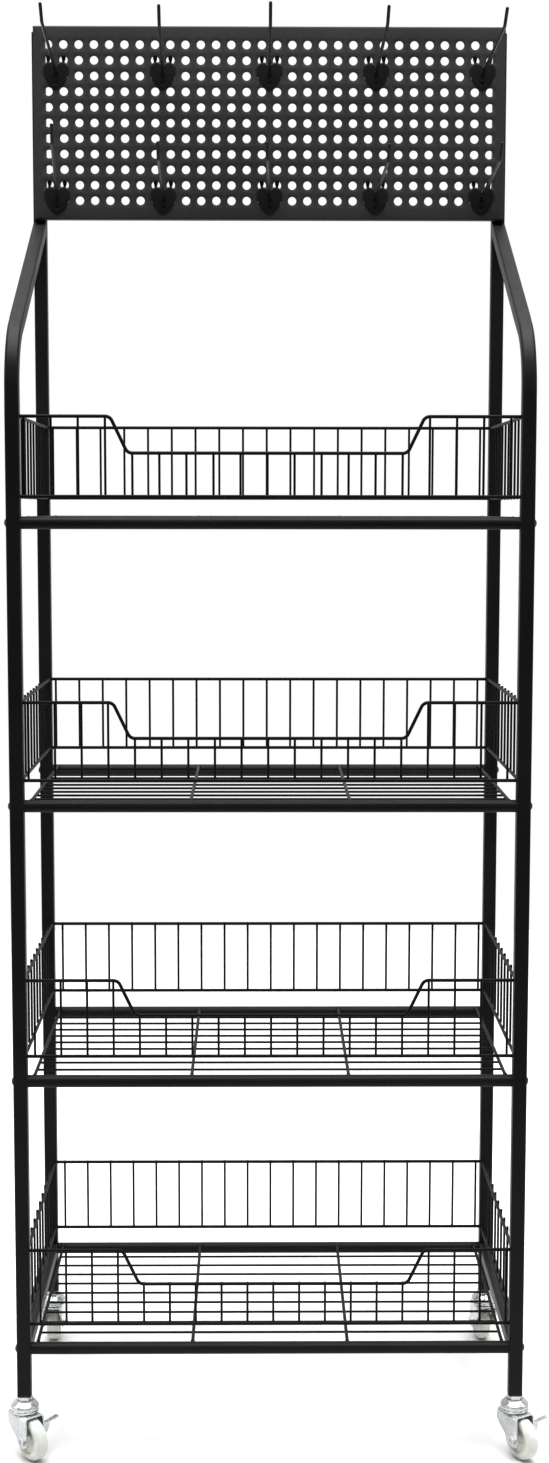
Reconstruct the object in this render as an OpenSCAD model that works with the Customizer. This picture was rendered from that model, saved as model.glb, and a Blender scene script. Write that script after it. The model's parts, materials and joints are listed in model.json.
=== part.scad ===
// Rolling display stand: two bent square-tube side frames, four wire shelves with wire
// guards, a perforated panel with ten hooks, and four swivel casters.
// Frame: millimetres, +Z up, floor at z = 0, origin below the middle of the four posts,
// front of the stand towards -Y.

/* [Stand] */
// Width over the outer faces of the posts
stand_w = 626; // [500:2:900]
// Depth over the front and rear faces of the posts
stand_d = 360; // [340:2:440]
// Side of the square tube that the posts are made of
post_w = 17; // [16:0.5:20]
// Wall of the square tube
post_wall = 1.2; // [1:0.1:1.5]
// Outer corner radius of the square tube
post_corner = 2; // [1.5:0.1:3]
// Height of the post bottoms above the floor
post_bottom = 80; // [78:1:84]
// Height of the rear post tops
post_top = 1792; // [1790:1:1794]
// Slope of the front posts' upper arms above the horizontal, in degrees
arm_slope = 28; // [20:1:32]
// Radius of the front posts' bend, at the tube's centre line
bend_r = 85; // [50:1:90]

/* [Shelves] */
// Height of the bottom shelf's tubes
shelf_low = 138; // [130:1:160]
// Height from one shelf to the next
shelf_pitch = 339; // [300:1:339]
// Diameter of the round shelf tubes
tube_d = 15; // [14:0.5:16]
// Wall of the round shelf tubes
tube_wall = 1.2; // [1:0.1:1.5]
// Spacing of the upright wires in the front and rear guards
wire_pitch = 32; // [28:1:32]
// Spacing of the long deck wires
deck_pitch = 32.5; // [28:0.5:33]
// Number of long deck wires
deck_wires = 9; // [5:2:9]
// Diameter of the thin wires
wire_d = 2.8; // [2:0.1:3]
// Diameter of the guard rails
rail_d = 4; // [3:0.1:4.5]
// Diameter of the deck's cross rods
rod_d = 4; // [3.5:0.1:5]

/* [Guards] */
// Height of the guards' top rails above the shelf tubes
guard_top = 125; // [110:1:140]
// Height of the front guard's dipped middle above the shelf tubes
guard_dip = 82; // [60:1:95]
// Height of the guards' bottom rails above the shelf tubes
guard_low = 31; // [25:1:40]
// Half width of the front guard's dipped stretch
dip_low_x = 165.5; // [120:0.5:170]
// Half width over the two slopes of the front guard's dip
dip_high_x = 186; // [180:1:200]

/* [Pegboard] */
// Gap from each side of the panel to the posts' outer faces
board_inset = 3; // [2:0.5:5]
// Height of the panel
board_h = 248; // [240:1:250]
// Height of the panel's top edge
board_top = 1800; // [1800:1:1804]
// Depth of the panel's folded edges
board_t = 12; // [8:0.5:14]
// Thickness of the panel's sheet
sheet = 1.2; // [1:0.1:1.5]
// Diameter of the peg holes
peg_d = 11; // [10:0.5:11]

/* [Hooks] */
// Diameter of the hook's rod
hook_d = 4; // [3.5:0.1:5]
// Reach of the rod from the panel to its tip
hook_reach = 230; // [150:1:260]
// Slope of the rod's straight stretch, in degrees
hook_slope = 4.5; // [2:0.5:8]
// Slope of the rod's upturned tip, in degrees
tip_slope = 38; // [20:1:60]
// Horizontal length of the upturned tip
tip_len = 21; // [15:1:40]

/* [Casters] */
// Diameter of the caster wheels
wheel_d = 52; // [50:1:52]
// Width of the wheel's tread
wheel_w = 17; // [16:0.5:17]
// Distance from the swivel axis to the wheel's axle
trail = 15; // [14:1:16]
// Turn of the front left caster about its stem, in degrees
front_left_turn = 40; // [-180:1:180]
// Turn of the front right caster about its stem, in degrees
front_right_turn = 31; // [-180:1:180]
// Turn of the rear left caster about its stem, in degrees
rear_left_turn = 180; // [-180:1:180]
// Turn of the rear right caster about its stem, in degrees
rear_right_turn = 190; // [-190:1:190]

/* [Hidden] */
$fn = 48;
// Straight stretches reach this far into a bend, whose section is this much fuller
lap = 0.3;
swell = 0.02;
shelves = 4;

// Posts: centres, inner faces and the bend
post_x = (stand_w - post_w) / 2;
post_y = (stand_d - post_w) / 2;
inner_x = post_x - post_w / 2;
inner_y = post_y - post_w / 2;
outer_x = stand_w / 2;
bore_corner = post_corner - post_wall;
bend_angle = 90 - arm_slope;
// The arm's top face meets the rear post just below the panel
arm_end_z = board_top - board_h - 2;
arm_end_mid_z = arm_end_z - post_w / 2 / cos(arm_slope);
bend_corner_z = arm_end_mid_z - (inner_y + post_y) * tan(arm_slope);
bend_z = bend_corner_z - bend_r * tan(bend_angle / 2);
arm_len = (inner_y + post_y - bend_r * (1 - cos(bend_angle))) / cos(arm_slope) + post_w;

// Fasteners
bolt_r = 3;
bolt_hole_r = 3.05;
bolt_head_r = 5.5;
bolt_head_h = 2.8;
hex_key = 4;
insert_len = 16;
insert_grip = 14;
screw_r = 2.5;
screw_hole_r = 2.55;
screw_zs = [for (z = [30, board_h / 2, board_h - 30]) board_top - z];

// Deck wires lie under the rods, guard wires beside their rails; a weld sinks 0.3 mm
weld = 0.3;
deck_z = 2.5;
rod_z = deck_z + (wire_d + rod_d) / 2 - weld;
guard_gap = (wire_d + rail_d) / 2 - weld;
// The rear guards lie this far in front of the posts' middle
rear_set = 1.5;
// Upright wires on each side of a guard's middle, and how far each guard is welded
// off the middle, shelf 1 to shelf 4
guard_posts = floor((inner_x - 6) / wire_pitch);
front_shifts = [-3.75, -2.75, 1, 4];
rear_shifts = [-3.25, -3, 2.75, 2.5];
rod_xs = [for (i = [-1, -1 / 3, 1 / 3, 1]) i * guard_posts * wire_pitch];
side_posts = 9;
side_pitch = 2 * inner_y / (side_posts + 1);
side_x = outer_x - 14;
tip_up = 2.5;
rail_bend = 9;

// Pegboard
board_w = stand_w - 2 * board_inset;
board_front = inner_y - board_t;
sheet_mid = board_front + sheet / 2;
lip_w = 14;
peg_pitch = 20;
peg_cols = floor((board_w - peg_pitch) / peg_pitch);
peg_rows = floor((board_h - peg_pitch) / peg_pitch);
first_row_z = board_top - (board_h - peg_pitch * (peg_rows - 1)) / 2;
first_col_x = -peg_pitch * (peg_cols - 1) / 2;

// Hooks: columns from one to the next, the two rows, and how each rod leans
hook_step = floor((peg_cols - 2) / 4);
hook_rows = [1, 9];
rod_turns = [[1, 1.5, 0, 0.5, 1], [4, 1, -1, 1, 0]];
rod_lifts = [[0, -0.5, 0.5, -0.5, -1], [5, -0.5, -0.5, -1, -0.5]];
plate_t = 1.5;
plate_gap = 0.25;
lobe_r = 8.9;
lobe_x = 8.1;
plate_waist = 11;
plate_tip = 37.5;
tip_r = 7;
plate_half_w = lobe_x + lobe_r;
prong_t = 1.8;
neck_w = 3.2;

// Casters, in their own frame: stem on Z, wheel trailing towards -Y, axle along X
axle_z = wheel_d / 2;
axle_r = 3;
running = 0.05;
cheek_x = 12;
cheek_t = 2;
crown_top = 57;
stem_r = 5;
stem_len = 42;
rivet_r = 8;
rivet_h = 2.5;
cup_r = 17.5;
socket_flange = 2.5;
socket_len = 22;
nut_h = 5.5;
nut_across = 17;
head_h = 3;
head_across = 10;
cup_top = post_bottom - socket_flange - nut_h;
race_top = 60.8;
cup_edge = race_top + 0.5;
ball_top = 64.7;
ball_r = 1.9;
ball_ring = 13.5;
balls = 14;
lever_x = cheek_x + cheek_t + 3.2;
lever_y = -11;
lever_z = 42;
lever_pin_r = 1.5;
lever_w = 18;
tab_w = 6;
tab_len = 20;
tab_slope = 11;
pad_drop = 6.5;
pad_back = 7;
pad_r = 2.6;
pad_gap = 1.65;

black = [0.07, 0.07, 0.075];
panel_grey = [0.12, 0.12, 0.125];
gloss_black = [0.03, 0.03, 0.035];
zinc = [0.72, 0.74, 0.75];
nylon = [0.9, 0.9, 0.86];
dark_plastic = [0.05, 0.05, 0.05];

// ---- helpers ----

// A square with rounded corners, centred
module round_square(w, r) {
    square([w, w - 2 * r], center = true);
    square([w - 2 * r, w], center = true);
    for (x = [-1, 1], y = [-1, 1])
        translate([x * (w / 2 - r), y * (w / 2 - r)]) circle(r);
}

// The square tube's cross section, with a wall that is thicker by grow on both faces
module tube_section(grow = 0) {
    difference() {
        round_square(post_w + 2 * grow, post_corner + grow);
        round_square(post_w - 2 * post_wall - 2 * grow, bore_corner);
    }
}

// A cylinder along X from x0 to x1
module x_rod(r, x0, x1) {
    translate([x0, 0, 0]) rotate([0, 90, 0]) cylinder(r = r, h = x1 - x0);
}

// A cylinder along Y from y0 to y1
module y_rod(r, y0, y1) {
    translate([0, y0, 0]) rotate([-90, 0, 0]) cylinder(r = r, h = y1 - y0);
}

// A hexagonal prism along Z
module hex_bar(across_flats, h) {
    cylinder(r = across_flats / sqrt(3), h = h, $fn = 6);
}

function unit(v) = v / norm(v);
function corner_turn(a, b, c) = acos(unit(b - a) * unit(c - b));
function corner_setback(a, b, c, r) = r * tan(corner_turn(a, b, c) / 2);

// One rounded corner of a bent wire
module wire_corner(a, b, c, bend, r) {
    u = unit(b - a);
    v = unit(c - b);
    n = unit(v - u * (u * v));
    w = cross(-n, u);
    m = b - u * corner_setback(a, b, c, bend) + n * bend;
    multmatrix([
        [-n[0], u[0], w[0], m[0]],
        [-n[1], u[1], w[1], m[1]],
        [-n[2], u[2], w[2], m[2]],
        [0, 0, 0, 1]
    ])
        rotate_extrude(angle = corner_turn(a, b, c)) translate([bend, 0]) circle(r + swell);
}

// One straight stretch of a wire
module wire_stretch(a, b, r) {
    d = b - a;
    translate(a) rotate([0, acos(d[2] / norm(d)), atan2(d[1], d[0])]) cylinder(r = r, h = norm(d));
}

// A wire along points, with a rounded corner at each inner point
module bent_wire(pts, bend, r) {
    last = len(pts) - 1;
    for (i = [1:1:last - 1]) wire_corner(pts[i - 1], pts[i], pts[i + 1], bend, r);
    for (i = [0:1:last - 1]) {
        u = unit(pts[i + 1] - pts[i]);
        s0 = i == 0 ? 0 : corner_setback(pts[i - 1], pts[i], pts[i + 1], bend) - lap;
        s1 = i == last - 1 ? 0 : corner_setback(pts[i], pts[i + 1], pts[i + 2], bend) - lap;
        wire_stretch(pts[i] + u * s0, pts[i + 1] - u * s1, r);
    }
}

// Height of a shelf's tubes; shelf 1 is the top one
function shelf_z(n) = shelf_low + (shelves - n) * shelf_pitch;

// Puts its children at all four ends of the shelf tubes of every shelf, +X outwards
module at_tube_ends() {
    for (n = [1:1:shelves], y = [-post_y, post_y], side = [0, 180])
        translate([0, y, shelf_z(n)]) rotate([0, 0, side]) children();
}

// Puts its children at the four caster stems
module at_stems() {
    for (x = [-post_x, post_x], y = [-post_y, post_y]) translate([x, y, 0]) children();
}

// ---- side frames ----

module bolt_holes() {
    for (n = [1:1:shelves])
        translate([0, 0, shelf_z(n)]) x_rod(bolt_hole_r, -post_w, post_w);
}

module front_post() {
    straight = bend_z - post_bottom;
    translate([0, -post_y, bend_z]) {
        difference() {
            translate([0, 0, -straight]) linear_extrude(height = straight + lap) tube_section();
            translate([0, 0, -bend_z]) bolt_holes();
        }
        translate([0, bend_r, 0]) {
            rotate([90, 0, -90]) rotate_extrude(angle = bend_angle)
                translate([bend_r, 0]) tube_section(swell);
            difference() {
                rotate([-bend_angle, 0, 0]) translate([0, -bend_r, -lap])
                    linear_extrude(height = arm_len) tube_section();
                translate([-post_w, inner_y + post_y - bend_r, 0])
                    cube([2 * post_w, stand_d, board_top]);
            }
        }
    }
}

module rear_post() {
    difference() {
        translate([0, post_y, post_bottom])
            linear_extrude(height = post_top - post_bottom) tube_section();
        translate([0, post_y, 0]) bolt_holes();
        for (z = screw_zs)
            translate([0, 0, z]) y_rod(screw_hole_r, inner_y - 1, inner_y + post_w + 1);
    }
}

module front_post_left() { color(black) translate([-post_x, 0, 0]) front_post(); }
module front_post_right() { color(black) translate([post_x, 0, 0]) front_post(); }
module rear_post_left() { color(black) translate([-post_x, 0, 0]) rear_post(); }
module rear_post_right() { color(black) translate([post_x, 0, 0]) rear_post(); }

// The lower rail welded between the front and rear post, level with the bottom shelf
module side_rail() {
    translate([0, -inner_y, shelf_low]) rotate([-90, 0, 0])
        linear_extrude(height = 2 * inner_y) tube_section();
}

module side_rail_left() { color(black) translate([-post_x, 0, 0]) side_rail(); }
module side_rail_right() { color(black) translate([post_x, 0, 0]) side_rail(); }

module rear_post_caps() {
    color(dark_plastic)
    for (x = [-post_x, post_x]) translate([x, post_y, post_top]) {
        linear_extrude(height = 2.5) round_square(post_w, post_corner);
        translate([0, 0, -10]) linear_extrude(height = 10)
            round_square(post_w - 2 * post_wall, bore_corner);
    }
}

// ---- shelves ----

module shelf_tubes(n) {
    color(black)
    for (y = [-post_y, post_y]) translate([0, y, shelf_z(n)])
        difference() {
            x_rod(tube_d / 2, -inner_x, inner_x);
            x_rod(tube_d / 2 - tube_wall, -inner_x - 1, inner_x + 1);
        }
}

// Four cross rods, coped against the tubes, on nine long wires
module shelf_deck(n) {
    half = deck_pitch * (deck_wires - 1) / 2;
    color(black) translate([0, 0, shelf_z(n)])
    difference() {
        union() {
            for (x = rod_xs) translate([x, 0, rod_z]) y_rod(rod_d / 2, -post_y, post_y);
            for (i = [0:1:deck_wires - 1])
                translate([0, i * deck_pitch - half, deck_z])
                    x_rod(wire_d / 2, rod_xs[0] - 1, rod_xs[3] + 1);
        }
        for (y = [-post_y, post_y])
            translate([0, y, 0]) x_rod(tube_d / 2, -inner_x, inner_x);
    }
}

// The front guard: its top rail steps down in the middle
module front_guard(n) {
    shift = front_shifts[n - 1];
    color(black) translate([0, -post_y, shelf_z(n)]) {
        bent_wire([
            [-inner_x, 0, guard_top], [shift - dip_high_x, 0, guard_top],
            [shift - dip_low_x, 0, guard_dip], [shift + dip_low_x, 0, guard_dip],
            [shift + dip_high_x, 0, guard_top], [inner_x, 0, guard_top]
        ], rail_bend, rail_d / 2);
        translate([0, 0, guard_low]) x_rod(rail_d / 2, -inner_x, inner_x);
        for (i = [-guard_posts:1:guard_posts]) {
            top = abs(i * wire_pitch) > dip_high_x ? guard_top : guard_dip;
            translate([shift + i * wire_pitch, guard_gap, guard_low - 1])
                cylinder(r = wire_d / 2, h = top - guard_low + 2);
        }
    }
}

// The rear guard: two straight rails with the upright wires behind them
module rear_guard(n) {
    color(black) translate([0, post_y - rear_set, shelf_z(n)]) {
        for (z = [guard_low, guard_top]) translate([0, 0, z])
            x_rod(rail_d / 2, -inner_x, inner_x);
        for (i = [-guard_posts:1:guard_posts])
            translate([rear_shifts[n - 1] + i * wire_pitch, guard_gap, guard_low - 1])
                cylinder(r = wire_d / 2, h = guard_top - guard_low + 2);
    }
}

// The two side guards: the upright wires stand outside the rails, with their tips above
module side_guards(n) {
    color(black)
    for (s = [-1, 1]) translate([0, 0, shelf_z(n)]) {
        for (z = [guard_low, guard_top]) translate([s * side_x, 0, z])
            y_rod(rail_d / 2, -inner_y, inner_y);
        for (i = [1:1:side_posts])
            translate([s * (side_x + guard_gap), i * side_pitch - inner_y, guard_low - tip_up])
                cylinder(r = wire_d / 2, h = guard_top - guard_low + 2 * tip_up);
    }
}

module shelf_1_tubes() { shelf_tubes(1); }
module shelf_2_tubes() { shelf_tubes(2); }
module shelf_3_tubes() { shelf_tubes(3); }
module shelf_4_tubes() { shelf_tubes(4); }
module shelf_1_deck() { shelf_deck(1); }
module shelf_2_deck() { shelf_deck(2); }
module shelf_3_deck() { shelf_deck(3); }
module shelf_4_deck() { shelf_deck(4); }
module front_guard_1() { front_guard(1); }
module front_guard_2() { front_guard(2); }
module front_guard_3() { front_guard(3); }
module front_guard_4() { front_guard(4); }
module rear_guard_1() { rear_guard(1); }
module rear_guard_2() { rear_guard(2); }
module rear_guard_3() { rear_guard(3); }
module rear_guard_4() { rear_guard(4); }
module side_guards_1() { side_guards(1); }
module side_guards_2() { side_guards(2); }
module side_guards_3() { side_guards(3); }
module side_guards_4() { side_guards(4); }

// Threaded plugs pressed into the ends of the shelf tubes
module tube_inserts() {
    color(zinc) at_tube_ends() difference() {
        x_rod(tube_d / 2 - tube_wall, inner_x - insert_len, inner_x);
        x_rod(bolt_hole_r, inner_x - insert_len - 1, inner_x + 1);
    }
}

// A dome along +X from x = 0, with its rim on the radius r
module dome(r, h) {
    ball = (r * r + h * h) / (2 * h);
    rotate([0, 90, 0]) rotate_extrude() intersection() {
        translate([0, h - ball]) circle(ball);
        square([r, h + 1]);
    }
}

// Domed bolts through the posts into the inserts
module shelf_bolts() {
    color(black) at_tube_ends() {
        x_rod(bolt_r, inner_x - insert_grip, outer_x);
        difference() {
            translate([outer_x, 0, 0]) dome(bolt_head_r, bolt_head_h);
            translate([outer_x + 1, 0, 0]) rotate([0, 90, 0]) hex_bar(hex_key, 4);
        }
    }
}

// ---- pegboard ----

// A tray of sheet metal: perforated face, four folded edges and two lips on the posts
module pegboard() {
    low = board_top - board_h;
    color(panel_grey)
    difference() {
        translate([-board_w / 2, board_front, low]) cube([board_w, board_t, board_h]);
        translate([-board_w / 2 + sheet, board_front + sheet, low + sheet])
            cube([board_w - 2 * sheet, board_t - 2 * sheet, board_h - 2 * sheet]);
        translate([-board_w / 2 + lip_w, board_front + sheet, low + sheet])
            cube([board_w - 2 * lip_w, board_t, board_h - 2 * sheet]);
        for (i = [0:1:peg_cols - 1], j = [0:1:peg_rows - 1])
            translate([first_col_x + i * peg_pitch, 0, first_row_z - j * peg_pitch])
                y_rod(peg_d / 2, board_front - 1, board_front + sheet + 1);
        for (x = [-post_x, post_x], z = screw_zs)
            translate([x, 0, z]) y_rod(screw_hole_r, inner_y - sheet - 1, inner_y + 1);
    }
}

// Screws through the rear posts into nuts behind the panel's lips
module pegboard_screws() {
    rear_y = inner_y + post_w;
    color(black)
    for (x = [-post_x, post_x], z = screw_zs) translate([x, 0, z]) {
        y_rod(screw_r, inner_y - sheet - 6, rear_y);
        translate([0, rear_y, 0]) rotate([-90, 0, 0]) difference() {
            cylinder(r = 4.6, h = 2.6);
            translate([0, 0, 1]) hex_bar(3, 2);
        }
        translate([0, inner_y - sheet, 0]) rotate([90, 30, 0]) difference() {
            hex_bar(8, 4);
            translate([0, 0, -1]) cylinder(r = screw_hole_r, h = 6);
        }
    }
}

// ---- hooks ----

// The stamped plate's outline: two lobes above a round-tipped shield
module plate_outline() {
    drop = plate_tip - plate_waist;
    r = ((drop - tip_r) * (drop - tip_r) + plate_half_w * plate_half_w - tip_r * tip_r)
        / (2 * (plate_half_w - tip_r));
    c = r - plate_half_w;
    side_h = r * (drop - tip_r) / (r - tip_r);
    for (s = [-1, 1]) translate([s * lobe_x, -plate_waist]) circle(lobe_r);
    intersection() {
        translate([c, -plate_waist]) circle(r);
        translate([-c, -plate_waist]) circle(r);
        translate([-plate_half_w, -plate_waist - side_h]) square([2 * plate_half_w, side_h]);
    }
    translate([0, tip_r - plate_tip]) circle(tip_r);
}

// A prong: a neck through the hole and a leg up the back of the panel
module prong() {
    translate([-neck_w / 2, -sheet / 2 - plate_gap - plate_t, -3]) cube([neck_w, plate_t, 4]);
    translate([-neck_w / 2, -sheet / 2 - plate_gap - plate_t, -1])
        cube([neck_w, plate_t + plate_gap + sheet + plate_gap + prong_t, 2]);
    translate([0, sheet / 2 + plate_gap + prong_t, 0]) rotate([90, 0, 0])
        linear_extrude(height = prong_t)
            polygon([[-1.6, -1], [1.6, -1], [2.9, 3.5], [2.4, 10], [-2.4, 10], [-2.9, 3.5]]);
}

// One hook about its hinge line, the middle of the sheet at the holes' height
module hook(turn, lift) {
    face = -sheet / 2 - plate_gap - plate_t;
    run = hook_reach - tip_len + face;
    start_z = -16;
    kink_z = run * tan(hook_slope);
    difference() {
        translate([0, face + plate_t, 0]) rotate([90, 0, 0])
            linear_extrude(height = plate_t) plate_outline();
        translate([0, 0, -29]) y_rod(1.8, face - 1, 0);
    }
    for (s = [-1, 1]) translate([s * peg_pitch / 2, 0, 0]) prong();
    translate([0, face, start_z]) rotate([-lift, 0, turn]) {
        bent_wire([
            [0, 0.5, 0], [0, -run, kink_z], [0, -run - tip_len, kink_z + tip_len * tan(tip_slope)]
        ], 12, hook_d / 2);
        translate([0, -run - tip_len, kink_z + tip_len * tan(tip_slope)])
            rotate([0, 0, -90]) rotate([0, -tip_slope, 0])
                translate([-lap, 0, 0]) dome(hook_d / 2 - swell, hook_d / 2);
        y_rod(hook_d / 2 + 1, -1.5, 0.5);
    }
}

module placed_hook(row, col) {
    x = first_col_x + peg_pitch * (hook_step * (col - 1) + 0.5);
    z = first_row_z - peg_pitch * hook_rows[row - 1];
    color(gloss_black) translate([x, sheet_mid, z])
        hook(rod_turns[row - 1][col - 1], rod_lifts[row - 1][col - 1]);
}

module hook_upper_1() { placed_hook(1, 1); }
module hook_upper_2() { placed_hook(1, 2); }
module hook_upper_3() { placed_hook(1, 3); }
module hook_upper_4() { placed_hook(1, 4); }
module hook_upper_5() { placed_hook(1, 5); }
module hook_lower_1() { placed_hook(2, 1); }
module hook_lower_2() { placed_hook(2, 2); }
module hook_lower_3() { placed_hook(2, 3); }
module hook_lower_4() { placed_hook(2, 4); }
module hook_lower_5() { placed_hook(2, 5); }

// ---- casters ----

// Plug in the post's end, with a flange under it and a bore for the stem
module stem_sockets() {
    color(dark_plastic) at_stems() difference() {
        union() {
            translate([0, 0, post_bottom]) linear_extrude(height = socket_len)
                round_square(post_w - 2 * post_wall, bore_corner);
            translate([0, 0, post_bottom - socket_flange])
                linear_extrude(height = socket_flange) round_square(post_w, post_corner);
        }
        translate([0, 0, post_bottom - socket_flange - 1])
            cylinder(r = stem_r + running, h = socket_len + socket_flange + 2);
    }
}

// The stem, riveted over below the fork's crown
module caster_stems() {
    color(zinc) at_stems() {
        translate([0, 0, crown_top - cheek_t - running]) cylinder(r = stem_r, h = stem_len);
        translate([0, 0, crown_top - cheek_t - running - rivet_h]) cylinder(r = rivet_r, h = rivet_h);
    }
}

// The upper bearing cup, clamped by the nut
module caster_cups() {
    color(zinc) at_stems() rotate_extrude() polygon([
        [stem_r + running, cup_top], [11, cup_top], [13, cup_top - 1], [cup_r - 0.7, 67.2],
        [cup_r, 66.4], [cup_r, 65.8], [cup_r - 1, 65.4], [cup_r - 1, 64.9], [cup_r, 64.5],
        [cup_r, cup_edge], [cup_r - 1.5, cup_edge], [cup_r - 1.5, ball_top],
        [9, ball_top], [9, cup_edge], [stem_r + running, cup_edge]
    ]);
}

module caster_nuts() {
    color(zinc) at_stems() difference() {
        intersection() {
            translate([0, 0, cup_top]) hex_bar(nut_across, nut_h);
            translate([0, 0, cup_top - 6]) cylinder(r1 = 15.8, r2 = 8.9, h = nut_h + 6.9);
        }
        translate([0, 0, cup_top - 1]) cylinder(r = stem_r + running, h = nut_h + 2);
    }
}

// The ring of balls between each pair of cups
module swivel_balls() {
    color(zinc) at_stems() for (i = [0:1:balls - 1])
        rotate([0, 0, i * 360 / balls]) translate([ball_ring, 0, ball_top - ball_r]) sphere(ball_r);
}

// The fork's outline from the side, in (y, z)
module cheek_outline() {
    polygon([
        [17, crown_top], [17, 43], [-trail + 8, axle_z - 4], [-trail, axle_z - 9],
        [-trail - 8.9, axle_z + 1.5], [-20.5, crown_top]
    ]);
    translate([-trail, axle_z]) circle(9);
}

// The fork: a folded yoke with the lower bearing cup on its crown
module fork(braked) {
    difference() {
        union() {
            intersection() {
                translate([0, 30, 0]) rotate([90, 0, 0]) linear_extrude(height = 80)
                    difference() {
                        yoke_section(cheek_x + cheek_t, crown_top, 5);
                        yoke_section(cheek_x, crown_top - cheek_t, 3);
                    }
                translate([-30, 0, 0]) rotate([90, 0, 90]) linear_extrude(height = 60)
                    cheek_outline();
            }
            lower_cup();
            if (braked) lever_ears();
        }
        translate([0, 0, crown_top - 10]) cylinder(r = stem_r + running, h = 20);
        translate([0, -trail, axle_z]) x_rod(axle_r, -30, 30);
        if (braked) lever_holes();
    }
}

// The yoke's outline from the front: open below, rounded at the two upper corners
module yoke_section(half_w, top, r) {
    translate([-half_w, 0]) square([2 * half_w, top - r]);
    translate([-half_w + r, 0]) square([2 * (half_w - r), top]);
    for (s = [-1, 1]) translate([s * (half_w - r), top - r]) circle(r);
}

module lower_cup() {
    rotate_extrude() polygon([
        [0, crown_top - lap], [cup_r - 2.5, crown_top - lap], [cup_r, crown_top + 1.5],
        [cup_r, race_top - 0.8], [cup_r - 0.8, race_top], [9, race_top], [9, race_top - 1.3],
        [0, race_top - 1.3]
    ]);
}

// Two ears on the outside of the right cheek that hold the brake lever's pins
module lever_ears() {
    ear_t = 1.6;
    for (s = [-1, 1])
        translate([cheek_x + 1, lever_y + s * (lever_w / 2 + 0.1) + (s < 0 ? -ear_t : 0), lever_z - 3])
            cube([lever_x - cheek_x + 1.5, ear_t, 6]);
}

// The bores for the lever's pins and the window for its pad
module lever_holes() {
    translate([lever_x, lever_y, lever_z]) y_rod(lever_pin_r + running, -lever_w, lever_w);
    translate([0, lever_y + pad_back, lever_z - pad_drop])
        x_rod(pad_r + 1.2, cheek_x - 1, cheek_x + cheek_t + 1);
}

// The brake lever: foot tab with a web below it, arm and pad on one pair of pins
module lever() {
    half = lever_w / 2;
    translate([lever_x, lever_y, lever_z]) {
        y_rod(lever_pin_r, -half - 1.5, half + 1.5);
        y_rod(2.2, -half + 0.5, half - 0.5);
        rotate([0, -tab_slope, 0]) translate([1.2, -half + 0.2, -0.8])
            cube([tab_len - 1.2, tab_w, 1.6]);
        translate([-1.2, -half + 1, -pad_drop - 3]) cube([1.8, lever_w - 2, pad_drop + 2]);
        translate([0, -half + 2.3, 0]) rotate([90, 0, 0]) linear_extrude(height = 1.6)
            polygon([[-0.8, 0], [6.5, 0.9], [5.5, -5], [2.5, -11], [-0.8, -11]]);
        translate([0, pad_back, -pad_drop]) x_rod(pad_r, wheel_w / 2 + pad_gap - lever_x, 0);
    }
}

// Axle bolt, with a head on the left and a nut on the right
module axle() {
    translate([0, -trail, axle_z]) {
        x_rod(axle_r, -cheek_x - cheek_t, cheek_x + cheek_t + head_h + 0.2);
        translate([-cheek_x - cheek_t - head_h, 0, 0]) rotate([0, 90, 0]) difference() {
            hex_bar(head_across, head_h);
            translate([0, 0, -1]) cylinder(r = 3, h = 1.8);
        }
        translate([cheek_x + cheek_t, 0, 0]) rotate([0, 90, 0]) hex_bar(head_across, head_h);
    }
}

// The wheel's cross section, as (radius, width)
module wheel_section() {
    half = wheel_w / 2;
    rim = wheel_d / 2;
    face_r = 10;
    shoulder = 6;
    translate([axle_r + running, -cheek_x + 0.5]) square([4, 2 * cheek_x - 1]);
    translate([axle_r + running, -half + 2.5]) square([face_r, wheel_w - 5]);
    translate([face_r, -half]) square([rim - shoulder - face_r, wheel_w]);
    translate([face_r, -half + shoulder]) square([rim - face_r, wheel_w - 2 * shoulder]);
    for (s = [-1, 1]) translate([rim - shoulder, s * (half - shoulder)]) circle(shoulder);
}

module wheel() {
    translate([0, -trail, axle_z]) rotate([0, 90, 0]) rotate_extrude() wheel_section();
}

// Places a caster's piece at its stem, turned about it
module at_caster(x, y, turn) {
    translate([x * post_x, y * post_y, 0]) rotate([0, 0, turn]) children();
}

module at_front_left() { at_caster(-1, -1, front_left_turn) children(); }
module at_front_right() { at_caster(1, -1, front_right_turn) children(); }
module at_rear_left() { at_caster(-1, 1, rear_left_turn) children(); }
module at_rear_right() { at_caster(1, 1, rear_right_turn) children(); }

module fork_front_left() { color(zinc) at_front_left() fork(true); }
module fork_front_right() { color(zinc) at_front_right() fork(true); }
module fork_rear_left() { color(zinc) at_rear_left() fork(false); }
module fork_rear_right() { color(zinc) at_rear_right() fork(false); }
module axle_front_left() { color(zinc) at_front_left() axle(); }
module axle_front_right() { color(zinc) at_front_right() axle(); }
module axle_rear_left() { color(zinc) at_rear_left() axle(); }
module axle_rear_right() { color(zinc) at_rear_right() axle(); }
module wheel_front_left() { color(nylon) at_front_left() wheel(); }
module wheel_front_right() { color(nylon) at_front_right() wheel(); }
module wheel_rear_left() { color(nylon) at_rear_left() wheel(); }
module wheel_rear_right() { color(nylon) at_rear_right() wheel(); }
module brake_lever_left() { color(zinc) at_front_left() lever(); }
module brake_lever_right() { color(zinc) at_front_right() lever(); }

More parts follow.
